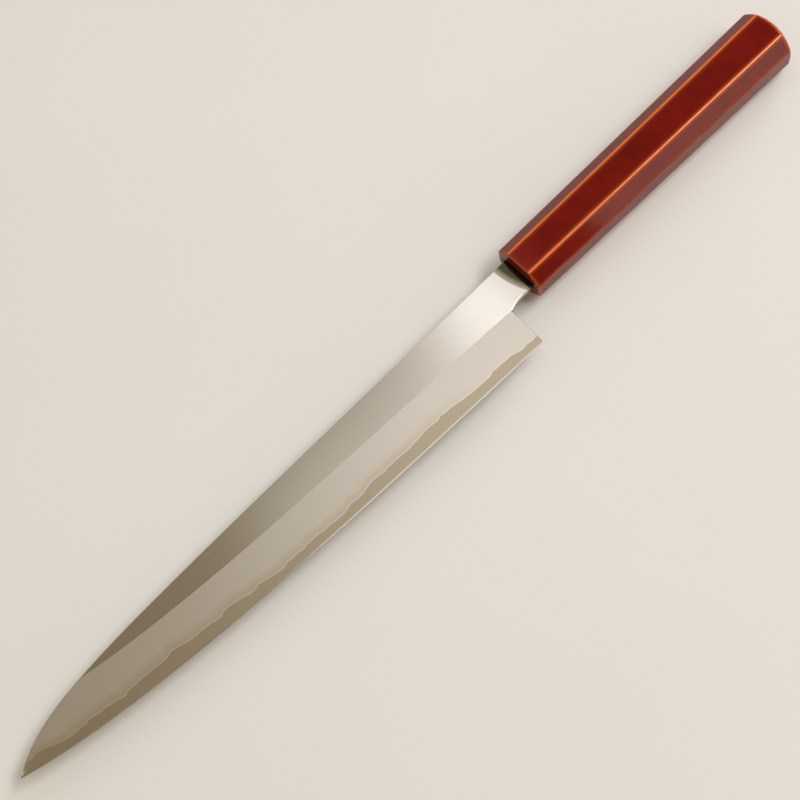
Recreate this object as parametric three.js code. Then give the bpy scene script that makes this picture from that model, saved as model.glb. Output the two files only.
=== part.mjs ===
// Sujihiki: a long slicing knife with a laminated blade and a lacquered octagonal handle.
// Millimetres, +Z up. The knife lies on its side: +X runs to the butt, +Y to the spine.
// Places are measured from the point where the handle's axis leaves its front face.
import * as THREE from 'three';
import { mergeVertices } from 'three/addons/utils/BufferGeometryUtils.js';

// Blade outline
const EDGE_LENGTH = 270; // tip to heel corner
const HEEL_HEIGHT = 36.6; // spine to heel corner
const TIP_DROP = 17.5; // spine line to tip
const NECK_LENGTH = 14.2; // heel corner to handle
const NECK_HEIGHT = 16.2; // centred on the handle's axis
const CHOIL_LEAN = 0.6; // the choil's top stands this much nearer the handle than the heel corner
const MACHI_STEP = 1.5; // rise of the neck's underside from the choil to its straight part
const MACHI_RUN = 8.4; // length of that rise
const MACHI_BEND = 2.1; // the rise is steepest about this far from the choil

// Handles of the spine, edge and ridge curves, as runs along the blade and offsets across it
const SPINE_BELLY_RUN = 45.4;
const SPINE_BELLY_DROP = 1.05;
const SPINE_TIP_RUN = 26.6;
const SPINE_TIP_DROP = 0.5;
const EDGE_HEEL_RUN = 80;
const EDGE_HEEL_RISE = 1.15;
const EDGE_TIP_RUN = 61;
const EDGE_TIP_DIP = 17.3;
const RIDGE_END_RUN = 42; // the ridge meets the spine this far behind the tip
const RIDGE_HEEL_RUN = 76;
const RIDGE_HEEL_RISE = 3.2;
const RIDGE_TIP_RUN = 62;
const RIDGE_TIP_DIP = 11;

// Blade thickness
const SPINE_AT_HANDLE = 3; // thickness of the spine where it enters the handle
const SPINE_AT_TIP = 0.8;
const FLAT_LEAN = 0.0125; // how much a flat leans in for each millimetre below the spine
const EDGE_BEVEL_HEIGHT = 0.6; // final sharpened bevel
const EDGE_BEVEL_WIDTH = 0.28; // thickness at that bevel's top
const SPINE_EASE = 0.3; // chamfer along the spine's corners

// Height of the bare core steel above the edge, with the waves that forging leaves in it
const BAND_HEIGHT = 5.1;
const BAND_WAVES = [
  { length: 130, rise: 1.1, shift: -22 },
  { length: 36, rise: 0.42, shift: 5 },
  { length: 15, rise: 0.26, shift: 2 },
];

// Hidden tang
const TANG_LENGTH = 105; // from the handle's front
const TANG_ROOT_DEPTH = 4; // the neck keeps its height this far into the handle
const TANG_SHOULDER_RUN = 2;
const TANG_ROOT_HEIGHT = 12.4;
const TANG_END_HEIGHT = 6;
const TANG_END_THICKNESS = 2.2;

// Handle: a tapered octagon with 45 degree chamfers, a flat front and a domed butt
const HANDLE_LENGTH = 153.8;
const FRONT_HEIGHT = 24;
const FRONT_THICKNESS = 20.8;
const FRONT_FACET = 12.3; // height of a side facet
const BUTT_HEIGHT = 26.3;
const BUTT_THICKNESS = 22.7;
const BUTT_FACET = 14.3;
const BUTT_DOME = 4.5; // fall of the butt's face from its middle to the top facet
const ARRIS_EASE = 0.7; // setback of each rounded long corner
const RIM_EASE = 0.8; // radius round both ends
const COAT_THICKNESS = 0.3; // lacquer

// Adhesive sleeve round the tang
const BED_WALL = 0.5;
const BED_CLEARANCE = 0.15; // on each side of the sleeve

// Fineness of the facets
const BLADE_STATIONS = 96;
const TIP_STATIONS = 6;
const MACHI_STATIONS = 6;
const ARRIS_STEPS = 3;
const FACET_STEPS = 4;
const RIM_STEPS = 2;
const FACE_STEPS = 3;
const HALVINGS = 50; // of an interval, to find a place on a curve

// Places that follow from the sizes above
const spineY = NECK_HEIGHT / 2;
const heelX = -NECK_LENGTH;
const heelY = spineY - HEEL_HEIGHT;
const tipX = heelX - EDGE_LENGTH;
const tipY = spineY - TIP_DROP;
const machiX = heelX + CHOIL_LEAN;
const machiY = -NECK_HEIGHT / 2 - MACHI_STEP;
const slotMargin = BED_WALL + 2 * BED_CLEARANCE;

const lerp = THREE.MathUtils.lerp;
const clamp = THREE.MathUtils.clamp;
const point = (x, y) => new THREE.Vector2(x, y);

// Tang sections, which the sleeve and the slot follow
const tangSections = [
  { x: 0, height: NECK_HEIGHT },
  { x: TANG_ROOT_DEPTH, height: NECK_HEIGHT },
  { x: TANG_ROOT_DEPTH + TANG_SHOULDER_RUN, height: TANG_ROOT_HEIGHT },
  { x: TANG_LENGTH, height: TANG_END_HEIGHT },
];

// Height of a curve at a place along the knife; the curve runs one way along X
function heightAt(curve, x) {
  const falling = curve.getPoint(1).x < curve.getPoint(0).x;
  let low = 0;
  let high = 1;
  for (let step = 0; step < HALVINGS; step += 1) {
    const middle = (low + high) / 2;
    if (curve.getPoint(middle).x > x === falling) low = middle;
    else high = middle;
  }
  return curve.getPoint((low + high) / 2).y;
}

const spineLine = new THREE.CubicBezierCurve(
  point(0, spineY),
  point(tipX + SPINE_BELLY_RUN, spineY - SPINE_BELLY_DROP),
  point(tipX + SPINE_TIP_RUN, spineY - SPINE_TIP_DROP),
  point(tipX, tipY),
);
const edgeLine = new THREE.CubicBezierCurve(
  point(heelX, heelY),
  point(heelX - EDGE_HEEL_RUN, heelY + EDGE_HEEL_RISE),
  point(tipX + EDGE_TIP_RUN, tipY - EDGE_TIP_DIP),
  point(tipX, tipY),
);
const ridgeEndX = tipX + RIDGE_END_RUN;
const ridgeEndY = heightAt(spineLine, ridgeEndX);
const ridgeLine = new THREE.CubicBezierCurve(
  point(machiX, machiY),
  point(machiX - RIDGE_HEEL_RUN, machiY + RIDGE_HEEL_RISE),
  point(ridgeEndX + RIDGE_TIP_RUN, ridgeEndY - RIDGE_TIP_DIP),
  point(ridgeEndX, ridgeEndY),
);
// Underside of the neck: a soft step up from the choil
const machiLine = new THREE.CubicBezierCurve(
  point(machiX, machiY),
  point(machiX + MACHI_BEND, machiY),
  point(machiX + MACHI_BEND, machiY + MACHI_STEP),
  point(machiX + MACHI_RUN, machiY + MACHI_STEP),
);

// Height of the core's bare band above the edge
function bandHeight(x) {
  const wave = ({ length, rise, shift }) => rise * Math.sin((2 * Math.PI * (x + shift)) / length);
  return BAND_WAVES.reduce((height, each) => height + wave(each), BAND_HEIGHT);
}

// Half of the thickness at the top edge: it tapers to the tip and to the tang's end
function spineHalf(x) {
  const end = x < 0 ? SPINE_AT_TIP : TANG_END_THICKNESS;
  const run = x < 0 ? x / tipX : x / TANG_LENGTH;
  return lerp(SPINE_AT_HANDLE, end, run) / 2;
}

// Where the core's band has climbed to the spine, near the tip
function bandEndX() {
  let low = tipX;
  let high = ridgeEndX;
  for (let step = 0; step < HALVINGS; step += 1) {
    const x = (low + high) / 2;
    const height = heightAt(spineLine, x) - heightAt(edgeLine, x);
    if (height > bandHeight(x)) high = x;
    else low = x;
  }
  return (low + high) / 2;
}

// The guide points of one half section, on the +Z side, from the edge up to the spine
function station(edge, bevel, band, ridge, top, crown, inner) {
  return { edge, bevel, band, ridge, top, crown, inner };
}

// Half of the thickness on the flat, at a depth below the spine
const flatHalf = (x, depth) => spineHalf(x) - FLAT_LEAN * depth;

// The spine's chamfer, limited by the steel that it is cut from
const easeWithin = (room) => Math.min(SPINE_EASE, room / 2);

// The upper part, the same on blade, neck and tang: flat, eased corner and top
function upperPoints(x, topY, lowY, coreHalf) {
  const easeY = easeWithin(topY - lowY);
  const cornerHalf = flatHalf(x, easeY);
  const easeZ = easeWithin(cornerHalf - coreHalf);
  return {
    top: new THREE.Vector3(x, topY - easeY, cornerHalf),
    crown: new THREE.Vector3(x, topY, cornerHalf - easeZ),
    inner: new THREE.Vector3(x, topY, coreHalf),
  };
}

// Section of the blade between the end of the band and the heel; the choil leans the heel's own section
function bladeStation(x, atHeel) {
  const edgeY = atHeel ? heelY : heightAt(edgeLine, x);
  const topY = heightAt(spineLine, x);
  const bandY = edgeY + bandHeight(x);
  const cornerY = topY - easeWithin(topY - bandY);
  const ridgeY = x > ridgeEndX ? clamp(heightAt(ridgeLine, x), bandY, cornerY) : cornerY;
  const ridgeHalf = flatHalf(x, topY - ridgeY);
  const bevelY = edgeY + EDGE_BEVEL_HEIGHT;
  const bevelHalf = EDGE_BEVEL_WIDTH / 2;
  const coreHalf = lerp(bevelHalf, ridgeHalf, (bandY - bevelY) / (ridgeY - bevelY));
  const upper = upperPoints(x, topY, bandY, coreHalf);
  const choilX = (y) => (atHeel ? lerp(heelX, machiX, (y - heelY) / (machiY - heelY)) : x);
  return station(
    new THREE.Vector3(choilX(edgeY), edgeY, 0),
    new THREE.Vector3(choilX(bevelY), bevelY, bevelHalf),
    new THREE.Vector3(choilX(bandY), bandY, coreHalf),
    new THREE.Vector3(x, ridgeY, ridgeHalf),
    upper.top,
    upper.crown,
    upper.inner,
  );
}

// Section of the tip, where only core steel is left
function tipStation(x) {
  const edgeY = heightAt(edgeLine, x);
  const topY = heightAt(spineLine, x);
  const bevelY = edgeY + Math.min(EDGE_BEVEL_HEIGHT, (topY - edgeY) / 2);
  const corner = new THREE.Vector3(x, topY, spineHalf(x));
  return station(
    new THREE.Vector3(x, edgeY, 0),
    new THREE.Vector3(x, bevelY, EDGE_BEVEL_WIDTH / 2),
    corner,
    corner,
    corner,
    corner,
    corner,
  );
}

// Section of the neck or tang, a plain sandwich of the three layers
function barStation(x, lowY, topY, coreHalf) {
  const upper = upperPoints(x, topY, lowY, coreHalf);
  const low = new THREE.Vector3(x, lowY, coreHalf);
  return station(
    new THREE.Vector3(x, lowY, 0),
    low,
    low,
    new THREE.Vector3(x, lowY, flatHalf(x, topY - lowY)),
    upper.top,
    upper.crown,
    upper.inner,
  );
}

const range = (count) => Array.from({ length: count }, (_, index) => index);

// All sections from the tip to the tang's end; the clad ones start where the band ends
function bladeStations() {
  const tip = new THREE.Vector3(tipX, tipY, 0);
  const endX = bandEndX();
  const bare = range(TIP_STATIONS).map((k) => tipStation(lerp(tipX, endX, (k + 1) / TIP_STATIONS)));
  const ground = range(BLADE_STATIONS).map((k) => {
    const last = k === BLADE_STATIONS - 1;
    return bladeStation(last ? machiX : lerp(endX, heelX, (k + 1) / BLADE_STATIONS), last);
  });
  const coreHalf = ground.at(-1).band.z;
  const neck = range(MACHI_STATIONS).map((k) => {
    const low = machiLine.getPoint(k / (MACHI_STATIONS - 1));
    return barStation(low.x, low.y, heightAt(spineLine, low.x), coreHalf);
  });
  const tang = tangSections.map(({ x, height }) => barStation(x, -height / 2, height / 2, coreHalf));
  const bareTip = station(tip, tip, tip, tip, tip, tip, tip);
  return {
    all: [bareTip, ...bare, ...ground, ...neck, ...tang],
    clad: [bare.at(-1), ...ground, ...neck, ...tang],
  };
}

// Surfaces are lists of triangles. A sheet joins the points of each section to those of the next one.
function sheet(sections) {
  const triangles = [];
  for (let j = 0; j + 1 < sections.length; j += 1) {
    const [here, next] = [sections[j], sections[j + 1]];
    for (let k = 0; k + 1 < here.length; k += 1) {
      triangles.push([here[k], next[k], next[k + 1]]);
      triangles.push([here[k], next[k + 1], here[k + 1]]);
    }
  }
  return triangles;
}

// A sheet closed round its sections
const tube = (rings) => sheet(rings.map((ring) => [...ring, ring[0]]));

// A flat end over one ring, facing -X
const cap = (ring) => range(ring.length - 2).map((k) => [ring[0], ring[k + 1], ring[k + 2]]);

const flipped = (triangles) => triangles.map(([a, b, c]) => [a, c, b]);

const acrossBlade = (p) => new THREE.Vector3(p.x, p.y, -p.z);
const mirrored = (triangles) => flipped(triangles.map((corners) => corners.map(acrossBlade)));

// One closed mesh from its triangles, with shared corners and without those that shrink to a line
function piece(name, triangles, finish) {
  const real = triangles.filter(([a, b, c]) => !a.equals(b) && !b.equals(c) && !c.equals(a));
  const geometry = new THREE.BufferGeometry().setFromPoints(real.flat());
  const merged = mergeVertices(geometry);
  merged.computeVertexNormals();
  const mesh = new THREE.Mesh(merged, new THREE.MeshStandardMaterial(finish));
  mesh.name = name;
  return mesh;
}

// The three layers share their inner faces, triangle for triangle
function blade() {
  const { all, clad } = bladeStations();
  const pick = (stations, names) => stations.map((each) => names.map((name) => each[name]));
  const end = all.at(-1);
  const joint = sheet(pick(clad, ['band', 'inner']));
  const ground = sheet(pick(all, ['edge', 'bevel', 'band']));
  const coreTop = all.map((each) => [each.inner, acrossBlade(each.inner)]);
  const coreEnd = [end.edge, end.band, end.inner, acrossBlade(end.inner), acrossBlade(end.band)];
  const core = [
    ...ground,
    ...joint,
    ...mirrored(ground),
    ...mirrored(joint),
    ...sheet(coreTop),
    ...flipped(cap(coreEnd)),
  ];
  const cladding = [
    ...sheet(pick(clad, ['band', 'ridge', 'top', 'crown', 'inner'])),
    ...flipped(joint),
    ...flipped(cap([end.band, end.ridge, end.top, end.crown, end.inner])),
  ];
  return { core, front: cladding, back: mirrored(cladding) };
}

// The two ends of the handle; inward is the way along X from the end into the handle
const front = {
  x: 0,
  inward: 1,
  height: FRONT_HEIGHT,
  thickness: FRONT_THICKNESS,
  facet: FRONT_FACET,
  dome: 0,
};
const butt = {
  x: HANDLE_LENGTH,
  inward: -1,
  height: BUTT_HEIGHT,
  thickness: BUTT_THICKNESS,
  facet: BUTT_FACET,
  dome: BUTT_DOME,
};

// Corners of the octagon at one end, drawn in by an inset, as heights and depths across the axis
function octagonCorners({ height, thickness, facet }, inset) {
  const cornerShift = inset * Math.tan(Math.PI / 8);
  const chamferLeg = (height - facet) / 2;
  const high = height / 2 - inset;
  const wide = thickness / 2 - inset;
  const side = facet / 2 - cornerShift;
  const crest = thickness / 2 - chamferLeg - cornerShift;
  return [
    point(-high, -crest),
    point(-high, crest),
    point(-side, wide),
    point(side, wide),
    point(high, crest),
    point(high, -crest),
    point(side, -wide),
    point(-side, -wide),
  ];
}

// The octagon with rounded corners and divided facets
function octagon(end, inset) {
  const corners = octagonCorners(end, inset);
  const towards = (from, to) => from.clone().add(to.clone().sub(from).setLength(ARRIS_EASE));
  return corners.flatMap((corner, k) => {
    const before = corners.at(k - 1);
    const after = corners[(k + 1) % corners.length];
    const leave = towards(corner, after);
    const arrive = towards(after, corner);
    const arc = new THREE.QuadraticBezierCurve(towards(corner, before), corner, leave);
    const facet = range(FACET_STEPS - 1).map((j) => leave.clone().lerp(arrive, (j + 1) / FACET_STEPS));
    return [...arc.getPoints(ARRIS_STEPS), ...facet];
  });
}

// Puts an outline on the flat or domed end, set back into the handle
function onEnd(end, outline, back) {
  return outline.map((p) => {
    const fall = end.dome * (p.length() / (end.height / 2)) ** 2;
    return new THREE.Vector3(end.x + end.inward * (fall + back), p.x, p.y);
  });
}

// Rectangles round the tang at a margin, from the handle's front to past the tang's end
function roundTang(margin) {
  return tangSections.map(({ x, height }) => ({
    x: x === TANG_LENGTH ? x + margin : x,
    high: height / 2 + margin,
    wide: spineHalf(x) + margin,
  }));
}

// A rectangle as the octagon's own points drawn in to it, so that both can be joined
function slotOutline({ high, wide }) {
  return octagon(front, 0).map((p) => point(clamp(p.x, -high, high), clamp(p.y, -wide, wide)));
}

// Rings over the handle from the slot's mouth to the middle of the butt, at a depth under the lacquer
function handleRings(depth) {
  const radius = RIM_EASE - depth;
  const rim = (end) =>
    range(RIM_STEPS + 1).map((k) => {
      const angle = ((k / RIM_STEPS) * Math.PI) / 2;
      const inset = depth + radius * (1 - Math.sin(angle));
      return onEnd(end, octagon(end, inset), depth + radius * (1 - Math.cos(angle)));
    });
  const mouth = slotOutline(roundTang(slotMargin)[0]);
  const frontRim = octagon(front, RIM_EASE);
  const buttRim = octagon(butt, RIM_EASE);
  const frontFace = range(FACE_STEPS).map((k) =>
    onEnd(front, mouth.map((p, i) => p.clone().lerp(frontRim[i], k / FACE_STEPS)), depth),
  );
  const buttFace = range(FACE_STEPS).map((k) =>
    onEnd(butt, buttRim.map((p) => p.clone().multiplyScalar(1 - (k + 1) / FACE_STEPS)), depth),
  );
  return [...frontFace, ...rim(front), ...rim(butt).reverse(), ...buttFace];
}

const atX = (outline, x) => outline.map((p) => new THREE.Vector3(x, p.x, p.y));

// Wood with its blind slot, and the lacquer that lies on it triangle for triangle
function handle() {
  const woodRings = handleRings(COAT_THICKNESS);
  const coatRings = handleRings(0);
  const slot = roundTang(slotMargin).slice(1).map((each) => atX(slotOutline(each), each.x));
  const wood = [...tube([...slot.toReversed(), ...woodRings]), ...cap(slot.at(-1))];
  const coat = [...tube([woodRings[0], ...coatRings]), ...flipped(tube(woodRings))];
  return { wood, coat };
}

// Closed sleeve of adhesive between the tang and the slot
function bedding() {
  const corners = ({ high, wide }) => [
    point(-high, -wide),
    point(-high, wide),
    point(high, wide),
    point(high, -wide),
  ];
  const wall = (margin) =>
    roundTang(margin).map((each, k) =>
      k === 0 ? onEnd(front, corners(each), COAT_THICKNESS) : atX(corners(each), each.x),
    );
  const inside = wall(BED_CLEARANCE);
  const outside = wall(BED_CLEARANCE + BED_WALL);
  return [
    ...tube([inside[0], ...outside]),
    ...flipped(cap(outside.at(-1))),
    ...flipped(tube(inside)),
    ...cap(inside.at(-1)),
  ];
}

const claddingFinish = { color: '#b7b0a6', roughness: 0.38, metalness: 1 };
const coreFinish = { color: '#8f867b', roughness: 0.34, metalness: 1 };
const woodFinish = { color: '#c7a777', roughness: 0.8, metalness: 0 };
const lacquerFinish = { color: '#4a1c12', roughness: 0.16, metalness: 0 };
const beddingFinish = { color: '#3b2a1d', roughness: 0.6, metalness: 0 };

const layers = blade();
const grip = handle();
const knife = new THREE.Group();
knife.add(
  piece('core_steel', layers.core, coreFinish),
  piece('cladding_front', layers.front, claddingFinish),
  piece('cladding_back', layers.back, claddingFinish),
  piece('handle_wood', grip.wood, woodFinish),
  piece('lacquer_coat', grip.coat, lacquerFinish),
  piece('tang_bedding', bedding(), beddingFinish),
);

// The origin lies under the middle of the knife, on the surface that it rests on
const bounds = new THREE.Box3().setFromObject(knife);
const middle = bounds.getCenter(new THREE.Vector3());
knife.position.set(-middle.x, -middle.y, -bounds.min.z);

export default knife;
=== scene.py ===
"""A sujihiki, a long slicing knife: finishes and fine surfaces round its fixed frame.

Everything is in metres in the frame's own axes: +X runs along the knife to the butt, +Y to the spine and
+Z up. The knife lies on its side on a pale floor.
"""

import logging
import math
from collections.abc import Callable, Iterable, Sequence
from dataclasses import dataclass, field
from enum import Enum

import bmesh
import bpy
import numpy as np
from mathutils import Matrix, Vector


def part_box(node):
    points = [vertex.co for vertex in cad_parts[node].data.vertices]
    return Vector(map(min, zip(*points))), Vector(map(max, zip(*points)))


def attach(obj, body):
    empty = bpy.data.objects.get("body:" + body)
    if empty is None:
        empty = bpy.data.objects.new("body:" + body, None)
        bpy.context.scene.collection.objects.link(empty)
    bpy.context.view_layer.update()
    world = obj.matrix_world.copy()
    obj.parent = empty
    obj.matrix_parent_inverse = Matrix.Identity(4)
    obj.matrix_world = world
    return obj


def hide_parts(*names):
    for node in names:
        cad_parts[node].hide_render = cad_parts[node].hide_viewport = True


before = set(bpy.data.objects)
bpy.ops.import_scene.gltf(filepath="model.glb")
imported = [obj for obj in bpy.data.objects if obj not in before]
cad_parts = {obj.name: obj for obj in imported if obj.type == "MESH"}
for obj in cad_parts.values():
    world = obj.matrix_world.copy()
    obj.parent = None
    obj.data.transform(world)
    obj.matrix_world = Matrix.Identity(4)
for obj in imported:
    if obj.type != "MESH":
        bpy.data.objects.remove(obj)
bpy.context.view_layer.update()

LOG = logging.getLogger("sujihiki")
MM = 0.001


class Mark(Enum):
    """Names of the measures that a mesh carries for its finish to read."""

    BAND = "above_core_line_mm"
    GRIND = "flat_bevel_or_edge"
    ARRIS = "from_arris_mm"
    RIM = "from_rim_mm"


class Grind(Enum):
    """How a face of the blade was ground, as the number that its finish reads."""

    FLAT = 0.0
    BEVEL = 1.0
    HONED = 2.0


class End(Enum):
    """The two ends of the handle, by the way that they face along the knife."""

    FRONT = -1
    BUTT = 1


class Layer(Enum):
    """The three layers of the blade, by the names of their nodes."""

    CORE = "core_steel"
    CLADDING_FRONT = "cladding_front"
    CLADDING_BACK = "cladding_back"


def linear(colour: str, alpha: float = 1.0) -> tuple[float, float, float, float]:
    """Turns an sRGB hex colour into linear red, green, blue and alpha.

    Args:
        colour: The colour as "#rrggbb".
        alpha: The fourth value.

    Returns:
        The four values that a colour socket takes.
    """
    shares = [int(colour[k : k + 2], 16) / 255 for k in (1, 3, 5)]
    curve = [c / 12.92 if c <= 0.04045 else ((c + 0.055) / 1.055) ** 2.4 for c in shares]
    return (*curve, alpha)


def add_node(tree: bpy.types.NodeTree, kind: str, inputs: dict | None = None, **settings) -> bpy.types.Node:
    """Adds one node with its settings and inputs.

    Args:
        tree: The node tree that the node goes into.
        kind: The node's Blender type.
        inputs: For each input, by name or number, an output to link or a value to set.
        **settings: The node's own properties.

    Returns:
        The new node.
    """
    node = tree.nodes.new(kind)
    for name, value in settings.items():
        setattr(node, name, value)
    for key, value in (inputs or {}).items():
        if isinstance(value, bpy.types.NodeSocket):
            tree.links.new(value, node.inputs[key])
        else:
            node.inputs[key].default_value = value
    return node


def new_material(name: str) -> tuple[bpy.types.Material, bpy.types.NodeTree, bpy.types.Node]:
    """Makes a material that holds only its shader and output.

    Args:
        name: The real material's name.

    Returns:
        The material, its node tree and its shader node.
    """
    material = bpy.data.materials.new(name)
    material.use_nodes = True
    tree = material.node_tree
    return material, tree, tree.nodes["Principled BSDF"]


def set_stops(ramp: bpy.types.ColorRamp, stops: Sequence[tuple[float, str]]) -> None:
    """Gives a new colour ramp its stops.

    Args:
        ramp: The ramp as a new node has it, with two stops.
        stops: For each stop, in order, its place from nought to one and its colour.
    """
    for _ in stops[2:]:
        ramp.elements.new(0.5)
    for element, (at, tone) in zip(ramp.elements, stops):
        element.position = at
        element.color = linear(tone)


@dataclass(frozen=True)
class GroundSteel:
    """Laminated knife steel, ground and then stoned to a satin.

    The soft stainless cladding is bright, and the hard core shows along the edge as a browner band. The
    stepped line between them carries a pale hairline where the two were forge welded, and the stones leave
    a warm haze above it that clears toward the heel. At the point the line climbs to the spine, so the point
    is all core. The flats were ground along the blade and the bevels across it. Behind a curved line the
    neck carries painted shade: a darker reflection is painted on, deepening toward the handle.
    """

    name: str
    flat: str = "#c1baae"
    bevel: str = "#d3ccc3"
    core: str = "#b3a793"
    haze: str = "#c6bba8"
    weld: str = "#e4ddd5"
    honed: str = "#cac2b8"
    # Painted shade on the neck: a painted darker reflection near the handle, from none to deepest
    neck_shade_tones: tuple[tuple[float, str], ...] = (
        (0.0, "#ffffff"),
        (0.12, "#c6c4b7"),
        (0.4, "#abaa99"),
        (0.8, "#888675"),
        (1.0, "#5c5a49"),
    )
    neck_shade_from: tuple[float, float] = (58.1 * MM, 15.8 * MM)
    neck_shade_curve: float = 0.015 / MM
    neck_shade_run: float = 3.0 * MM
    flat_roughness: float = 0.16
    bevel_roughness: float = 0.33
    honed_roughness: float = 0.15
    step_run_mm: float = 13.0
    step_slope: float = 0.06
    step_smooth: float = 0.4
    ripple_run_mm: float = 4.5
    ripple_rise_mm: float = 0.7
    line_blur_mm: float = 0.3
    # Along the knife, where the core line starts to climb to the point and where it has climbed in full
    climb: tuple[float, float] = (-192.0 * MM, -208.0 * MM)
    climb_rise_mm: float = 1.4
    haze_width_mm: float = 5.0
    # Along the knife, where the haze has cleared and where it is full
    haze_fade: tuple[float, float] = (25.0 * MM, -20.0 * MM)
    weld_width_mm: float = 0.8
    weld_share: float = 0.8
    # Along the knife, where the weld is lost at the point and where it shows in full
    weld_fade: tuple[float, float] = (-206.0 * MM, -190.0 * MM)
    # Real grinding lines are about 0.05 mm wide; these are drawn coarser so that they show
    line_width_mm: float = 0.5
    line_length_mm: float = 40.0
    line_contrast: float = 0.035
    line_depth_mm: float = 0.002
    line_strength: float = 0.5

    def material(self) -> bpy.types.Material:
        """Builds the steel's node tree.

        Returns:
            The material.
        """
        material, tree, shader = new_material(self.name)
        place = add_node(tree, "ShaderNodeTexCoord").outputs["Object"]
        axes = add_node(tree, "ShaderNodeSeparateXYZ", {0: place})
        grind = add_node(tree, "ShaderNodeAttribute", attribute_name=Mark.GRIND.value).outputs["Fac"]
        on_bevel, honed = (
            add_node(
                tree,
                "ShaderNodeMapRange",
                {"Value": grind, "From Min": before.value, "From Max": after.value},
            ).outputs["Result"]
            for before, after in ((Grind.FLAT, Grind.BEVEL), (Grind.BEVEL, Grind.HONED))
        )
        haze, weld, bare = self._core_shares(tree, axes.outputs["X"])
        shares = (on_bevel, haze, weld, bare, honed)
        colour = linear(self.flat)
        for share, tone in zip(shares, (self.bevel, self.haze, self.weld, self.core, self.honed)):
            colour = add_node(
                tree, "ShaderNodeMix", {0: share, 6: colour, 7: linear(tone)}, data_type="RGBA"
            ).outputs[2]
        lines = self._grinding_lines(tree, place, on_bevel)
        shade = add_node(
            tree,
            "ShaderNodeMapRange",
            {"Value": lines, "To Min": 1 - self.line_contrast, "To Max": 1 + self.line_contrast},
        ).outputs["Result"]
        # The grinding lines and the neck's painted shade, a painted darker reflection, scale the colour
        for factor in (shade, self._painted_neck_shade(tree, axes)):
            colour = add_node(
                tree, "ShaderNodeVectorMath", {0: colour, 1: factor}, operation="MULTIPLY"
            ).outputs["Vector"]
        tree.links.new(colour, shader.inputs["Base Color"])
        polish = self.flat_roughness
        for share, rough in ((on_bevel, self.bevel_roughness), (honed, self.honed_roughness)):
            polish = add_node(tree, "ShaderNodeMix", {0: share, 2: polish, 3: rough}).outputs[0]
        polish = add_node(
            tree,
            "ShaderNodeMath",
            {0: lines, 1: self.line_contrast, 2: polish},
            operation="MULTIPLY_ADD",
        ).outputs[0]
        tree.links.new(polish, shader.inputs["Roughness"])
        bump = add_node(
            tree,
            "ShaderNodeBump",
            {"Height": lines, "Strength": self.line_strength, "Distance": self.line_depth_mm * MM},
        ).outputs["Normal"]
        tree.links.new(bump, shader.inputs["Normal"])
        shader.inputs["Metallic"].default_value = 1.0
        return material

    def _core_shares(
        self, tree: bpy.types.NodeTree, along: bpy.types.NodeSocket
    ) -> list[bpy.types.NodeSocket]:
        """Finds where the haze and the weld show and where the core lies bare.

        Args:
            tree: The steel's node tree.
            along: The place along the knife, in metres.

        Returns:
            The outputs that hold the haze's, the weld's and the core's share.
        """
        above = self._above_line(tree, along)
        hazy, welded = (
            add_node(
                tree,
                "ShaderNodeMapRange",
                {"Value": along, "From Min": none, "From Max": full, "To Max": most},
            ).outputs["Result"]
            for (none, full), most in ((self.haze_fade, 1.0), (self.weld_fade, self.weld_share))
        )
        spans = (
            {"From Max": self.haze_width_mm, "To Min": hazy, "To Max": 0.0},
            {"From Max": self.weld_width_mm, "To Min": welded, "To Max": 0.0},
            {"From Min": self.line_blur_mm, "From Max": -self.line_blur_mm},
        )
        return [
            add_node(
                tree, "ShaderNodeMapRange", {"Value": above, **span}, interpolation_type="SMOOTHSTEP"
            ).outputs["Result"]
            for span in spans
        ]

    def _above_line(self, tree: bpy.types.NodeTree, along: bpy.types.NodeSocket) -> bpy.types.NodeSocket:
        """Gives the height above the core line, which steps along the blade and climbs at the point.

        Args:
            tree: The steel's node tree.
            along: The place along the knife, in metres.

        Returns:
            The output that holds the height in millimetres.
        """
        band = add_node(tree, "ShaderNodeAttribute", attribute_name=Mark.BAND.value).outputs["Fac"]
        start, end = self.climb
        climbed = add_node(
            tree,
            "ShaderNodeMapRange",
            {"Value": along, "From Min": start, "From Max": end, "To Max": self.climb_rise_mm},
        ).outputs["Result"]
        above = add_node(tree, "ShaderNodeMath", {0: band, 1: climbed}, operation="SUBTRACT").outputs[0]
        counted = add_node(
            tree, "ShaderNodeMath", {0: along, 1: 1 / (self.step_run_mm * MM)}, operation="MULTIPLY"
        ).outputs[0]
        steps = add_node(
            tree,
            "ShaderNodeTexVoronoi",
            {"W": counted, "Scale": 1.0, "Smoothness": self.step_smooth},
            voronoi_dimensions="1D",
            feature="SMOOTH_F1",
        ).outputs["W"]
        past = add_node(tree, "ShaderNodeMath", {0: counted, 1: steps}, operation="SUBTRACT").outputs[0]
        stepped = add_node(
            tree,
            "ShaderNodeMath",
            {0: past, 1: self.step_slope * self.step_run_mm, 2: above},
            operation="MULTIPLY_ADD",
        ).outputs[0]
        ripple = add_node(
            tree,
            "ShaderNodeTexNoise",
            {"W": along, "Scale": 1 / (self.ripple_run_mm * MM)},
            noise_dimensions="1D",
        ).outputs["Fac"]
        half = self.ripple_rise_mm / 2
        wave = add_node(tree, "ShaderNodeMapRange", {"Value": ripple, "To Min": -half, "To Max": half})
        return add_node(
            tree, "ShaderNodeMath", {0: wave.outputs["Result"], 1: stepped}, operation="ADD"
        ).outputs[0]

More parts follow.
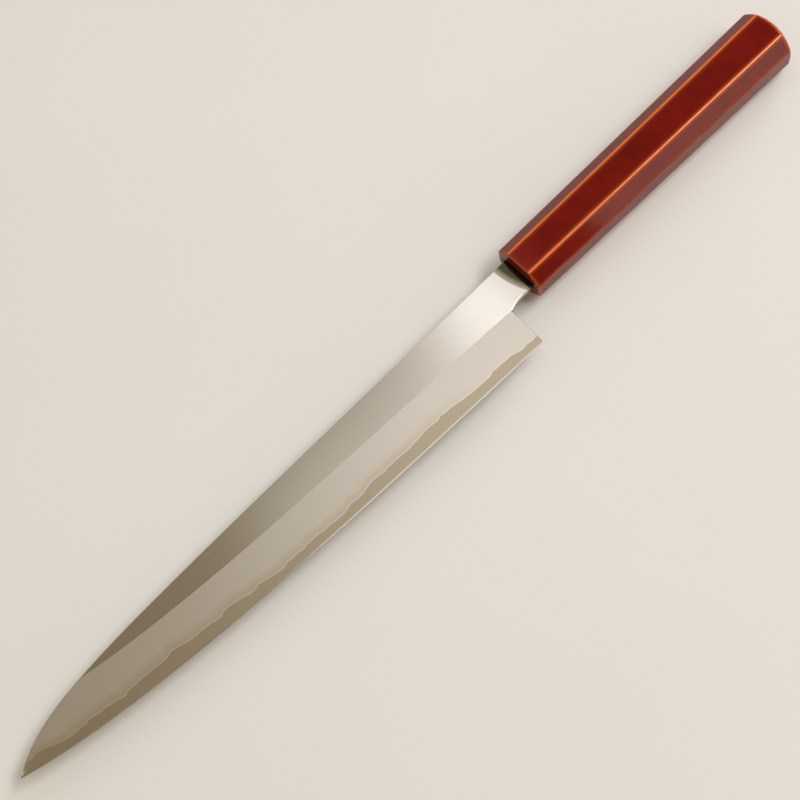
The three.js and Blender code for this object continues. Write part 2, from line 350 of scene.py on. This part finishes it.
    def _painted_neck_shade(self, tree: bpy.types.NodeTree, axes: bpy.types.Node) -> bpy.types.NodeSocket:
        """Paints shade on the neck behind its curved line, a darker reflection that deepens toward the
        handle.

        Args:
            tree: The steel's node tree.
            axes: The node that holds the place on the knife as three numbers.

        Returns:
            The output that holds the factor for the steel's colour.
        """
        start, top = self.neck_shade_from
        drop = add_node(
            tree, "ShaderNodeMath", {0: axes.outputs["Y"], 1: top}, operation="SUBTRACT"
        ).outputs[0]
        square = add_node(tree, "ShaderNodeMath", {0: drop, 1: drop}, operation="MULTIPLY").outputs[0]
        past = add_node(
            tree, "ShaderNodeMath", {0: axes.outputs["X"], 1: start}, operation="SUBTRACT"
        ).outputs[0]
        behind = add_node(
            tree, "ShaderNodeMath", {0: square, 1: -self.neck_shade_curve, 2: past}, operation="MULTIPLY_ADD"
        ).outputs[0]
        share = add_node(tree, "ShaderNodeMapRange", {"Value": behind, "From Max": self.neck_shade_run})
        tones = add_node(tree, "ShaderNodeValToRGB", {0: share.outputs["Result"]})
        set_stops(tones.color_ramp, self.neck_shade_tones)
        return tones.outputs["Color"]

    def _grinding_lines(
        self, tree: bpy.types.NodeTree, place: bpy.types.NodeSocket, on_bevel: bpy.types.NodeSocket
    ) -> bpy.types.NodeSocket:
        """Draws fine lines along the flats and across the bevels.

        Args:
            tree: The steel's node tree.
            place: The place on the knife, in metres.
            on_bevel: One on a bevel and nought on a flat.

        Returns:
            The output that holds the lines, from nought to one.
        """
        fine, long = 1 / (self.line_width_mm * MM), 1 / (self.line_length_mm * MM)
        layers = []
        for scale in ((long, fine, fine), (fine, long, fine)):
            mapped = add_node(tree, "ShaderNodeMapping", {"Vector": place, "Scale": scale}).outputs[0]
            noise = add_node(tree, "ShaderNodeTexNoise", {"Vector": mapped, "Scale": 1.0, "Detail": 3.0})
            layers.append(noise.outputs["Fac"])
        return add_node(tree, "ShaderNodeMix", {0: on_bevel, 2: layers[0], 3: layers[1]}).outputs[0]


@dataclass(frozen=True)
class ThinnedLacquer:
    """Translucent red-brown lacquer over a pale ground coat, rubbed down and polished.

    It is deep red and faintly clouded on the facets. Rubbing thins it along the arrises and the rims,
    where the ground coat glows orange through it; the palest orange at the corners is partly a painted
    highlight.
    """

    name: str
    deep: str = "#650703"
    red: str = "#7e130a"
    # How far from a corner, in millimetres, each tone lies; the palest tones near the corner are partly a
    # painted highlight
    glow_and_highlight: tuple[tuple[float, str], ...] = (
        (0.15, "#f18f56"),
        (0.5, "#cc5727"),
        (1.0, "#8a2f12"),
        (2.6, "#650703"),
    )
    cloud_mm: float = 14.0
    # The noise's values at which a cloud is deepest and reddest
    cloud_span: tuple[float, float] = (0.3, 0.7)
    wander_mm: float = 0.3
    roughness: float = 0.07
    rim_hold_mm: float = 0.25
    specular: float = 0.25

    def material(self) -> bpy.types.Material:
        """Builds the lacquer's node tree.

        Returns:
            The material.
        """
        material, tree, shader = new_material(self.name)
        place = add_node(tree, "ShaderNodeTexCoord").outputs["Object"]
        arris = add_node(tree, "ShaderNodeAttribute", attribute_name=Mark.ARRIS.value).outputs["Fac"]
        rim = add_node(tree, "ShaderNodeAttribute", attribute_name=Mark.RIM.value).outputs["Fac"]
        held = add_node(tree, "ShaderNodeMath", {0: rim, 1: self.rim_hold_mm}).outputs[0]
        near = add_node(tree, "ShaderNodeMath", {0: arris, 1: held}, operation="MINIMUM").outputs[0]
        cloud = add_node(
            tree,
            "ShaderNodeTexNoise",
            {"Vector": place, "Scale": 1 / (self.cloud_mm * MM), "Detail": 4.0, "Roughness": 0.6},
        ).outputs["Fac"]
        deepest, reddest = self.cloud_span
        ends = {"Value": cloud, "From Min": deepest, "From Max": reddest}
        drift = add_node(
            tree, "ShaderNodeMapRange", {**ends, "To Min": -self.wander_mm, "To Max": self.wander_mm}
        ).outputs["Result"]
        full = self.glow_and_highlight[-1][0]
        spread = add_node(tree, "ShaderNodeMapRange", {"Value": near, "From Max": full}).outputs["Result"]
        depth = add_node(
            tree, "ShaderNodeMath", {0: drift, 1: spread, 2: near}, operation="MULTIPLY_ADD"
        ).outputs[0]
        share = add_node(tree, "ShaderNodeMapRange", {"Value": depth, "From Max": full}).outputs["Result"]
        # The ramp's pale stops are the thin coat's orange and, in part, a painted highlight on the arrises
        glow_and_highlight = add_node(tree, "ShaderNodeValToRGB", {0: share})
        set_stops(glow_and_highlight.color_ramp, [(at / full, tone) for at, tone in self.glow_and_highlight])
        clouded = add_node(tree, "ShaderNodeMapRange", ends).outputs["Result"]
        body = add_node(
            tree,
            "ShaderNodeMix",
            {0: clouded, 6: linear(self.deep), 7: linear(self.red)},
            data_type="RGBA",
        ).outputs[2]
        inside = add_node(
            tree,
            "ShaderNodeMapRange",
            {"Value": depth, "From Min": self.glow_and_highlight[-2][0], "From Max": full},
            interpolation_type="SMOOTHSTEP",
        ).outputs["Result"]
        colour = add_node(
            tree, "ShaderNodeMix", {0: inside, 6: glow_and_highlight.outputs["Color"], 7: body}, data_type="RGBA"
        ).outputs[2]
        tree.links.new(colour, shader.inputs["Base Color"])
        shader.inputs["Roughness"].default_value = self.roughness
        shader.inputs["Specular IOR Level"].default_value = self.specular
        return material


@dataclass(frozen=True)
class SawnWood:
    """Pale straight-grained magnolia, sawn and left plain under the lacquer.

    It shows fine darker lines along the handle and no gloss.
    """

    name: str
    pale: str = "#d2b48a"
    dark: str = "#a88355"
    grain_mm: float = 1.6
    grain_length_mm: float = 60.0
    roughness: float = 0.75

    def material(self) -> bpy.types.Material:
        """Builds the wood's node tree.

        Returns:
            The material.
        """
        material, tree, shader = new_material(self.name)
        place = add_node(tree, "ShaderNodeTexCoord").outputs["Object"]
        across = 1 / (self.grain_mm * MM)
        scale = (1 / (self.grain_length_mm * MM), across, across)
        mapped = add_node(tree, "ShaderNodeMapping", {"Vector": place, "Scale": scale}).outputs[0]
        grain = add_node(tree, "ShaderNodeTexNoise", {"Vector": mapped, "Scale": 1.0, "Detail": 4.0})
        colour = add_node(
            tree,
            "ShaderNodeMix",
            {0: grain.outputs["Fac"], 6: linear(self.dark), 7: linear(self.pale)},
            data_type="RGBA",
        ).outputs[2]
        tree.links.new(colour, shader.inputs["Base Color"])
        shader.inputs["Roughness"].default_value = self.roughness
        return material


@dataclass(frozen=True)
class HardResin:
    """Dark filled resin that beds the tang: nearly black, with a fine dull speckle."""

    name: str
    dark: str = "#1f1610"
    light: str = "#3d2c20"
    speck_mm: float = 0.8
    roughness: float = 0.55

    def material(self) -> bpy.types.Material:
        """Builds the resin's node tree.

        Returns:
            The material.
        """
        material, tree, shader = new_material(self.name)
        place = add_node(tree, "ShaderNodeTexCoord").outputs["Object"]
        speck = add_node(tree, "ShaderNodeTexNoise", {"Vector": place, "Scale": 1 / (self.speck_mm * MM)})
        colour = add_node(
            tree,
            "ShaderNodeMix",
            {0: speck.outputs["Fac"], 6: linear(self.dark), 7: linear(self.light)},
            data_type="RGBA",
        ).outputs[2]
        tree.links.new(colour, shader.inputs["Base Color"])
        shader.inputs["Roughness"].default_value = self.roughness
        return material


@dataclass(frozen=True)
class PaleBoard:
    """Smooth matt paint on the studio floor, with the faintest unevenness."""

    name: str
    light: str = "#f2f3f5"
    shade: str = "#edeef0"
    blotch_mm: float = 120.0
    roughness: float = 0.9

    def material(self) -> bpy.types.Material:
        """Builds the paint's node tree.

        Returns:
            The material.
        """
        material, tree, shader = new_material(self.name)
        place = add_node(tree, "ShaderNodeTexCoord").outputs["Object"]
        blotch = add_node(tree, "ShaderNodeTexNoise", {"Vector": place, "Scale": 1 / (self.blotch_mm * MM)})
        colour = add_node(
            tree,
            "ShaderNodeMix",
            {0: blotch.outputs["Fac"], 6: linear(self.shade), 7: linear(self.light)},
            data_type="RGBA",
        ).outputs[2]
        tree.links.new(colour, shader.inputs["Base Color"])
        shader.inputs["Roughness"].default_value = self.roughness
        shader.inputs["Specular IOR Level"].default_value = 0.0
        return material


def only(piece: bpy.types.Object) -> None:
    """Makes one object the active one and the only one that is selected.

    Args:
        piece: The object.
    """
    bpy.ops.object.select_all(action="DESELECT")
    piece.select_set(True)
    bpy.context.view_layer.objects.active = piece


Part = bmesh.types.BMVert | bmesh.types.BMEdge | bmesh.types.BMFace


def pick(piece: bpy.types.Object, kind: str, wanted: Callable[[Part], bool]) -> set[int]:
    """Selects parts of the mesh that is in edit mode, and nothing else.

    Args:
        piece: The object in edit mode.
        kind: "verts", "edges" or "faces".
        wanted: Says whether a vertex, edge or face is to be selected.

    Returns:
        The numbers of what was selected.
    """
    bpy.ops.mesh.select_all(action="DESELECT")
    mesh = bmesh.from_edit_mesh(piece.data)
    getattr(mesh, kind).index_update()
    chosen = [part for part in getattr(mesh, kind) if wanted(part)]
    for part in chosen:
        part.select_set(True)
    mesh.select_flush_mode()
    bmesh.update_edit_mesh(piece.data)
    return {part.index for part in chosen}


def measure(
    piece: bpy.types.Object, mark: Mark, values: Iterable[float], domain: str = "POINT"
) -> None:
    """Writes one number for each vertex or face of a piece, for its finish to read.

    Args:
        piece: The finished piece.
        mark: Which measure it is.
        values: The numbers, in the mesh's own order.
        domain: "POINT" or "FACE".
    """
    attribute = piece.data.attributes.new(mark.value, "FLOAT", domain)
    attribute.data.foreach_set("value", np.fromiter(values, np.float32))


def hand_over(piece: bpy.types.Object, material: bpy.types.Material, slot: str, *nodes: str) -> None:
    """Gives a finished piece its material, hangs it under the root and hides the nodes that it stands for.

    Args:
        piece: The finished piece, at the origin.
        material: Its only material.
        slot: Not used.
        *nodes: The nodes that it stands for.
    """
    piece.data.materials.clear()
    piece.data.materials.append(material)
    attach(piece, "root")
    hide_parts(*nodes)
    LOG.info("%s stands for %s, %d faces", piece.name, ", ".join(nodes), len(piece.data.polygons))


@dataclass
class Blade:
    """The three forge-welded layers of the blade, each as a piece of its own."""

    steel: GroundSteel
    crisp_angle: float = math.radians(5.0)
    merge: float = 0.002 * MM
    choil_ease: float = 0.35 * MM
    choil_segments: int = 3
    # How far, at the least, the faces beside a choil's edge look back or down, and sideways
    choil_facing: float = 0.6
    side_facing: float = 0.9
    # How far a normal leans to the edge: the most on a flat, and the range on the honed edge
    flat_lean: float = 0.0175
    honed_lean: tuple[float, float] = (0.2, 0.25)
    joint_depth: float = 0.5 * MM
    heel_slack: float = 0.1 * MM
    # The core line is read once in each step of this length
    line_step: float = 1.0 * MM
    heel: float = field(init=False)
    handle: float = field(init=False)
    middle: float = field(init=False)
    shoulder: float = field(init=False)
    line: tuple[list[float], list[float]] = field(init=False)

    def __post_init__(self) -> None:
        """Takes the places of the heel, the handle's front, the tang and the core line from the frame."""
        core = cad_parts[Layer.CORE.value].data.vertices
        low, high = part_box("tang_bedding")
        self.heel = min((vert.co for vert in core), key=lambda co: co.y).x
        self.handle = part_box("lacquer_coat")[0].x
        self.middle = (low.z + high.z) / 2
        self.shoulder = (low.y + high.y) / 2
        self.line = self._core_line(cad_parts[Layer.CLADDING_FRONT.value])

    def build(self) -> dict[Layer, bpy.types.Object]:
        """Makes the three layers from the frame's solids."""
        return {layer: self._layer(layer) for layer in Layer}

    def _layer(self, layer: Layer) -> bpy.types.Object:
        """Makes one layer: joined faces, an eased choil and crisp ridges.

        Args:
            layer: Which layer.

        Returns:
            The piece, at the origin.
        """
        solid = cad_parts[layer.value]
        piece = bpy.data.objects.new(f"{layer.value}_ground", solid.data.copy())
        bpy.context.scene.collection.objects.link(piece)
        only(piece)
        bpy.ops.object.mode_set(mode="EDIT")
        bpy.ops.mesh.select_all(action="SELECT")
        bpy.ops.mesh.remove_doubles(threshold=self.merge)
        bpy.ops.mesh.select_mode(type="EDGE")
        pick(piece, "edges", self._is_choil_edge)
        bpy.ops.mesh.bevel(offset=self.choil_ease, segments=self.choil_segments, affect="EDGES")
        bpy.ops.object.mode_set(mode="OBJECT")
        bpy.ops.mesh.customdata_custom_splitnormals_clear()
        bpy.ops.object.shade_smooth_by_angle(angle=self.crisp_angle, keep_sharp_edges=False)
        bpy.ops.object.mode_set(mode="EDIT")
        pick(piece, "edges", self._is_ridge)
        bpy.ops.mesh.mark_sharp()
        bpy.ops.object.mode_set(mode="OBJECT")
        return piece

    def _is_ridge(self, edge: bmesh.types.BMEdge) -> bool:
        """Says whether an edge lies between a flat and a bevel."""
        return len({self._leans(face.normal) for face in edge.link_faces}) == 2

    def _leans(self, normal: Vector) -> bool:
        """Says whether a face leans to the edge as a bevel does, and not as a flat."""
        return -normal.y > self.flat_lean

    def _is_choil_edge(self, edge: bmesh.types.BMEdge) -> bool:
        """Finds the edges in sight round the choil, behind the heel and under the neck.

        Args:
            edge: An edge of a layer.

        Returns:
            Whether the edge is one of them.
        """
        normals = [face.normal for face in edge.link_faces]
        top = max(vert.co.y for vert in edge.verts)
        behind = self.heel - self.heel_slack < min(vert.co.x for vert in edge.verts)
        before = max(vert.co.x for vert in edge.verts) < self.handle
        outside = max(abs(vert.co.z - self.middle) for vert in edge.verts) > self.joint_depth
        on_core = top < np.interp(edge.verts[0].co.x, *self.line) + self.merge
        turned = max(max(normal.x, -normal.y) for normal in normals) > self.choil_facing
        sideways = max(abs(normal.z) for normal in normals) > self.side_facing
        return behind and before and turned and sideways and (outside or on_core) and top < self.shoulder

    def dress(self, pieces: dict[Layer, bpy.types.Object]) -> None:
        """Measures the layers for their finish and hands them over.

        Args:
            pieces: The three pieces.
        """
        material = self.steel.material()
        for layer, piece in pieces.items():
            points = np.array([vert.co for vert in piece.data.vertices])
            measure(piece, Mark.BAND, (points[:, 1] - np.interp(points[:, 0], *self.line)) / MM)
            grinds = [self._grind(face.normal).value for face in piece.data.polygons]
            measure(piece, Mark.GRIND, grinds, "FACE")
            slot = "core_steel" if layer is Layer.CORE else "cladding_steel"
            hand_over(piece, material, slot, layer.value)

    def _grind(self, normal: Vector) -> Grind:
        """Tells from the way that a face lies how it was ground.

        Args:
            normal: The face's normal.

        Returns:
            How it was ground.
        """
        least, most = self.honed_lean
        if least < -normal.y < most:
            return Grind.HONED
        return Grind.BEVEL if self._leans(normal) else Grind.FLAT

    def _core_line(self, cladding: bpy.types.Object) -> tuple[list[float], list[float]]:
        """Finds the cladding's lower border, where the core comes out.

        Args:
            cladding: The layer on one side.

        Returns:
            The places along the knife and the border's heights there.
        """
        lowest: dict[int, Vector] = {}
        for vert in cladding.data.vertices:
            key = round(vert.co.x / self.line_step)
            on_blade = vert.co.x < self.heel + self.line_step / 2
            if on_blade and (key not in lowest or vert.co.y < lowest[key].y):
                lowest[key] = vert.co
        border = sorted((point.x, point.y) for point in lowest.values())
        return [x for x, _ in border], [y for _, y in border]


@dataclass
class Handle:
    """The lacquered octagonal handle, with its wood and the bedding of the tang inside."""

    lacquer: ThinnedLacquer
    wood: SawnWood
    resin: HardResin
    front_height: float = 24.0 * MM
    front_thickness: float = 20.8 * MM
    front_facet: float = 12.3 * MM
    butt_facet: float = 14.3 * MM
    butt_dome: float = 4.5 * MM
    arris_ease: float = 0.7 * MM
    rim_ease: float = 0.8 * MM
    coat: float = 0.3 * MM
    # The crests' arrises are held back from the glow as painted shade, so they render duller than the sides'
    crest_shade_hold: float = 0.6 * MM
    slot_gap: float = 0.15 * MM
    arris_segments: int = 6
    rim_segments: int = 5
    facet_cuts: int = 3
    dome_rings: int = 8
    # How squarely, at the least, an end's face looks along the handle
    end_facing: float = 0.999
    flat_weight: int = 100
    length: float = field(init=False)
    butt_height: float = field(init=False)
    butt_thickness: float = field(init=False)
    place: Vector = field(init=False)

    def __post_init__(self) -> None:
        """Takes the handle's length, butt and place from the frame."""
        low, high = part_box("lacquer_coat")
        self.length = high.x - low.x
        self.butt_height = high.y - low.y
        self.butt_thickness = high.z - low.z
        self.place = Vector((low.x, (low.y + high.y) / 2, (low.z + high.z) / 2))

    def _octagon(self, end: End) -> tuple[float, float, float]:
        """Gives the octagon's height, thickness and side facet at one end.

        Args:
            end: Which end.

        Returns:
            The three sizes.
        """
        if end is End.BUTT:
            return self.butt_height, self.butt_thickness, self.butt_facet
        return self.front_height, self.front_thickness, self.front_facet

    def _corners(self, end: End) -> list[Vector]:
        """Gives the octagon's sharp corners at one end.

        Args:
            end: Which end.

        Returns:
            The corners round the axis, at nought along it: the side facets' four, then the crests' four.
        """
        height, thickness, facet = self._octagon(end)
        crest = thickness / 2 - (height / 2 - facet / 2)
        quarter = [(facet / 2, thickness / 2), (height / 2, crest)]
        return [Vector((0, y * sy, z * sz)) for y, z in quarter for sy in (1, -1) for sz in (1, -1)]

    def build(self) -> bpy.types.Object:
        """Models the lacquer shell round the axis and moves it to its place.

        Returns:
            The shell, at the origin.
        """
        piece = self._draw_front()
        self._pull_to_butt(piece)
        self._round_rim(piece, End.BUTT)
        self._dome_butt(piece)
        self._round_rim(piece, End.FRONT)
        self._open_slot(piece)
        self._give_wall(piece)
        piece.location = self.place
        bpy.ops.object.transform_apply(location=True, rotation=True, scale=True)
        return piece

    def _draw_front(self) -> bpy.types.Object:
        """Draws the front as a circle of eight corners, moved to the octagon and rounded.

        Returns:
            The front, in edit mode.
        """
        bpy.ops.object.select_all(action="DESELECT")
        radius = self.front_height / 2
        half_corner = math.pi / 8
        bpy.ops.mesh.primitive_circle_add(
            vertices=8, radius=radius, fill_type="NGON", rotation=(0, math.pi / 2, 0)
        )
        piece = bpy.context.object
        piece.name = "lacquer_coat_polished"
        bpy.ops.object.transform_apply(location=True, rotation=True, scale=True)
        bpy.ops.object.mode_set(mode="EDIT")
        bpy.ops.mesh.select_mode(type="VERT")
        bpy.ops.mesh.select_all(action="SELECT")
        bpy.ops.transform.rotate(value=half_corner, orient_axis="X", center_override=(0, 0, 0))
        bpy.ops.transform.translate(value=(self.rim_ease, 0, 0))
        near, far = radius * math.sin(half_corner), radius * math.cos(half_corner)
        side, *_, crest = self._corners(End.FRONT)[:5]
        on_sides = pick(piece, "verts", lambda vert: abs(vert.co.z) > abs(vert.co.y))
        bpy.ops.transform.resize(value=(1, side.y / near, side.z / far), center_override=(0, 0, 0))
        pick(piece, "verts", lambda vert: vert.index not in on_sides)
        bpy.ops.transform.resize(value=(1, crest.y / far, crest.z / near), center_override=(0, 0, 0))
        bpy.ops.mesh.select_all(action="SELECT")
        bpy.ops.mesh.bevel(offset=self.arris_ease, segments=self.arris_segments, affect="VERTICES")
        return piece

    def _pull_to_butt(self, piece: bpy.types.Object) -> None:
        """Pulls the front out to the butt, moves each corner to its place there and divides the facets.

        Args:
            piece: The front in edit mode.
        """
        run = self.length - 2 * self.rim_ease
        bpy.ops.mesh.select_all(action="SELECT")
        bpy.ops.mesh.extrude_region_move(TRANSFORM_OT_translate={"value": (run, 0, 0)})
        reach = 2 * self.arris_ease
        end = Vector((self.rim_ease + run, 0, 0))
        corners = list(zip(self._corners(End.FRONT), self._corners(End.BUTT)))
        clusters = [
            pick(piece, "verts", lambda vert: (vert.co - end - front).length < reach)
            for front, _ in corners
        ]
        for members, (front, butt) in zip(clusters, corners):
            pick(piece, "verts", lambda vert: vert.index in members)
            bpy.ops.transform.translate(value=butt - front)
        bpy.ops.mesh.select_mode(type="EDGE")
        pick(piece, "edges", lambda edge: reach < edge.calc_length() < run / 2)
        bpy.ops.mesh.subdivide(number_cuts=self.facet_cuts)
        pick(piece, "edges", lambda edge: edge.calc_length() > run / 2)
        bpy.ops.mesh.subdivide(number_cuts=1)

    def _round_rim(self, piece: bpy.types.Object, end: End) -> None:
        """Rounds the rim of one end by insets that climb a quarter circle.

        Args:
            piece: The shell in edit mode.
            end: Which end.
        """
        bpy.ops.mesh.select_mode(type="FACE")
        pick(piece, "faces", lambda face: face.normal.x * end.value > self.end_facing)
        angles = np.linspace(math.pi / 2, 0, self.rim_segments + 1)
        for before, after in zip(angles, angles[1:]):
            bpy.ops.mesh.inset(
                thickness=self.rim_ease * (math.sin(before) - math.sin(after)),
                depth=self.rim_ease * (math.cos(after) - math.cos(before)),
            )

    def _dome_butt(self, piece: bpy.types.Object) -> None:
        """Divides the butt into rings and draws its middle out, so that the end falls away as a dome.

        Args:
            piece: The shell in edit mode, with the butt's face selected.
        """
        for ring in range(self.dome_rings, 1, -1):
            share = (ring - 1) / ring
            bpy.ops.mesh.extrude_region_move(TRANSFORM_OT_translate={"value": (0, 0, 0)})
            bpy.ops.transform.resize(value=(1, share, share), center_override=(self.length, 0, 0))
        bpy.ops.mesh.extrude_region_move(TRANSFORM_OT_translate={"value": (0, 0, 0)})
        bpy.ops.mesh.merge(type="CENTER")
        bpy.ops.mesh.select_mode(type="VERT")
        reach = self.butt_height
        draw = self.butt_dome * (reach / (self.butt_height / 2)) ** 2
        pick(piece, "verts", lambda vert: vert.co.x > self.length / 2 + self.arris_ease)
        bpy.ops.transform.translate(value=(-draw, 0, 0))
        pick(piece, "verts", lambda vert: vert.co.x > self.length / 2 and vert.co.yz.length < self.coat)
        bpy.ops.transform.translate(
            value=(draw, 0, 0),
            use_proportional_edit=True,
            proportional_edit_falloff="INVERSE_SQUARE",
            proportional_size=reach,
        )

    def _open_slot(self, piece: bpy.types.Object) -> None:
        """Cuts the tang's mouth out of the front.

        Args:
            piece: The shell in edit mode.
        """
        low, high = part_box("tang_bedding")
        half_high = (high.y - low.y) / 2 + self.slot_gap
        half_wide = (high.z - low.z) / 2 + self.slot_gap
        bpy.ops.mesh.select_mode(type="FACE")
        sides = (((0, half_high, 0), (0, 1, 0)), ((0, 0, half_wide), (0, 0, 1)))
        for point, normal in sides:
            for sign in (1, -1):
                pick(piece, "faces", lambda face: -face.normal.x > self.end_facing)
                bpy.ops.mesh.bisect(plane_co=Vector(point) * sign, plane_no=normal)
        pick(
            piece,
            "faces",
            lambda face: -face.normal.x > self.end_facing
            and abs(face.calc_center_median().y) < half_high
            and abs(face.calc_center_median().z) < half_wide,
        )
        bpy.ops.mesh.delete(type="FACE")
        bpy.ops.object.mode_set(mode="OBJECT")

    def _give_wall(self, piece: bpy.types.Object) -> None:
        """Gives the shell its thickness and keeps the facets flat to the light.

        Args:
            piece: The shell.
        """
        only(piece)
        wall = piece.modifiers.new("wall", "SOLIDIFY")
        wall.thickness = self.coat
        wall.offset = -1
        wall.use_even_offset = True
        bpy.ops.object.modifier_apply(modifier=wall.name)
        bpy.ops.object.shade_smooth()
        flat = piece.modifiers.new("flat_facets", "WEIGHTED_NORMAL")
        flat.weight = self.flat_weight
        bpy.ops.object.modifier_apply(modifier=flat.name)

    def dress(self, coat: bpy.types.Object) -> None:
        """Measures the shell for its finish and hands everything over.

        Args:
            coat: The lacquer shell.
        """
        local = [vert.co - self.place for vert in coat.data.vertices]
        measure(coat, Mark.ARRIS, [self._from_arris(point) / MM for point in local])
        measure(coat, Mark.RIM, [self._from_rim(point) / MM for point in local])
        hand_over(coat, self.lacquer.material(), "lacquer", "lacquer_coat")
        for node, finish in (("handle_wood", self.wood), ("tang_bedding", self.resin)):
            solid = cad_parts[node]
            solid.data.materials.clear()
            solid.data.materials.append(finish.material())
            LOG.info("%s keeps its shape", node)

    def _from_arris(self, point: Vector) -> float:
        """Gives the distance from a point to the nearest long corner of the octagon.

        Args:
            point: A point of the shell, from the middle of the handle's front.

        Returns:
            The distance in metres, longer at the crests by the painted shade held on them.
        """
        share = point.x / self.length
        across = Vector((0, point.y, point.z))
        ends = zip(self._corners(End.FRONT), self._corners(End.BUTT))
        away = [(across - front.lerp(butt, share)).length for front, butt in ends]
        # The crests' arrises get painted shade: their glow starts further in
        return min(*away[:4], min(away[4:]) + self.crest_shade_hold)

    def _from_rim(self, point: Vector) -> float:
        """Gives the distance from a point to the nearer end's rim, along the handle or in from its outline.

        Args:
            point: A point of the shell, from the middle of the handle's front.

        Returns:
            The distance in metres.
        """
        share = point.x / self.length
        sizes = zip(self._octagon(End.FRONT), self._octagon(End.BUTT))
        height, thickness, facet = (front + (butt - front) * share for front, butt in sizes)
        y, z = abs(point.y), abs(point.z)
        chamfer = (thickness / 2 + facet / 2 - y - z) / math.sqrt(2)
        inset = min(height / 2 - y, thickness / 2 - z, chamfer)
        fall = self.butt_dome * (math.hypot(y, z) / (self.butt_height / 2)) ** 2
        return max(min(point.x, self.length - fall - point.x), inset)


@dataclass(frozen=True)
class Softbox:
    """One plain soft lamp: a pale rectangle that faces a point."""

    name: str
    place: tuple[float, float, float]
    aim: tuple[float, float, float]
    width: float
    depth: float
    radiance: float
    colour: str = "#e4eaf1"

    def hang(self) -> None:
        """Adds the lamp to the scene."""
        data = bpy.data.lights.new(self.name, "AREA")
        data.shape = "RECTANGLE"
        data.size = self.width
        data.size_y = self.depth
        data.energy = self.radiance * math.pi * self.width * self.depth
        data.color = linear(self.colour)[:3]
        lamp = bpy.data.objects.new(self.name, data)
        lamp.location = self.place
        back = Vector(self.place) - Vector(self.aim)
        lamp.rotation_euler = back.to_track_quat("Z", "Y").to_euler()
        bpy.context.scene.collection.objects.link(lamp)


ON_HANDLE = (150.0 * MM, 0.0, 15.0 * MM)


@dataclass
class Studio:
    """The floor, the lamps, the surroundings and the camera at the photograph's angle."""

    board: PaleBoard
    target: tuple[float, float, float] = (-7.2 * MM, 3.675 * MM, 11.35 * MM)
    tilt: float = math.radians(18.8)
    swing: float = math.radians(9.0)
    turn: float = math.radians(43.57)
    distance: float = 850.0 * MM
    lens_mm: float = 94.1
    sensor_mm: float = 36.0
    floor_size: float = 6.0
    surroundings: str = "#a1947c"
    lamps: tuple[Softbox, ...] = (
        Softbox("key", (0.269, 0.345, 1.0), (0.269, 0.345, 0.0), 0.058, 0.37, 4.15, "#dfe3f1"),
        Softbox("top", (0.145, 0.0, 1.0), (0.145, 0.0, 0.0), 0.33, 0.66, 0.97),
        Softbox("overhead", (1.725, -0.9, 3.0), ON_HANDLE, 2.1, 0.9, 11.2, "#fbf7f1"),
        Softbox("side", (4.65, 1.5, 2.0), ON_HANDLE, 2.0, 2.0, 4.6),
        Softbox("strip", (0.595, -0.9, 0.33), ON_HANDLE, 0.46, 0.14, 2.3, "#ffefdc"),
    )

    def set_up(self) -> None:
        """Makes everything round the object."""
        self._lay_floor()
        self._surround()
        for lamp in self.lamps:
            lamp.hang()
        self._aim_camera()
        bpy.context.scene.view_settings.view_transform = "Standard"

    def _lay_floor(self) -> None:
        """Lays the pale floor that the knife rests on."""
        bpy.ops.object.select_all(action="DESELECT")
        bpy.ops.mesh.primitive_plane_add(size=self.floor_size)
        floor = bpy.context.object
        floor.name = "floor"
        floor.data.materials.append(self.board.material())

    def _surround(self) -> None:
        """Gives the world an even warm grey."""
        world = bpy.data.worlds.new("surroundings")
        world.use_nodes = True
        world.node_tree.nodes["Background"].inputs["Color"].default_value = linear(self.surroundings)
        bpy.context.scene.world = world

    def _aim_camera(self) -> None:
        """Sets the camera by how far it is tilted to the edge, swung to the tip and turned."""
        tilt_sin, tilt_cos = math.sin(self.tilt), math.cos(self.tilt)
        swing_sin, swing_cos = math.sin(self.swing), math.cos(self.swing)
        back = Vector((-swing_sin, -tilt_sin * swing_cos, tilt_cos * swing_cos))
        right = Vector((swing_cos, -tilt_sin * swing_sin, tilt_cos * swing_sin))
        up = Vector((0, tilt_cos, tilt_sin))
        turned_right = right * math.cos(self.turn) - up * math.sin(self.turn)
        turned_up = right * math.sin(self.turn) + up * math.cos(self.turn)
        data = bpy.data.cameras.new("camera")
        data.lens = self.lens_mm
        data.sensor_width = self.sensor_mm
        camera = bpy.data.objects.new("camera", data)
        axes = Matrix((turned_right, turned_up, back)).transposed()
        camera.matrix_world = Matrix.LocRotScale(
            Vector(self.target) + back * self.distance, axes.to_quaternion(), None
        )
        bpy.context.scene.collection.objects.link(camera)
        bpy.context.scene.camera = camera


def main() -> None:
    """Builds the knife's pieces in order, dresses them and sets up the studio."""
    logging.basicConfig(level=logging.INFO, format="%(name)s: %(message)s")
    Studio(board=PaleBoard("matt_floor_paint")).set_up()
    blade = Blade(steel=GroundSteel("satin_ground_laminated_steel"))
    blade.dress(blade.build())
    handle = Handle(
        lacquer=ThinnedLacquer("rubbed_translucent_lacquer"),
        wood=SawnWood("sawn_magnolia_wood"),
        resin=HardResin("filled_bedding_resin"),
    )
    handle.dress(handle.build())


if __name__ == "__main__":
    main()
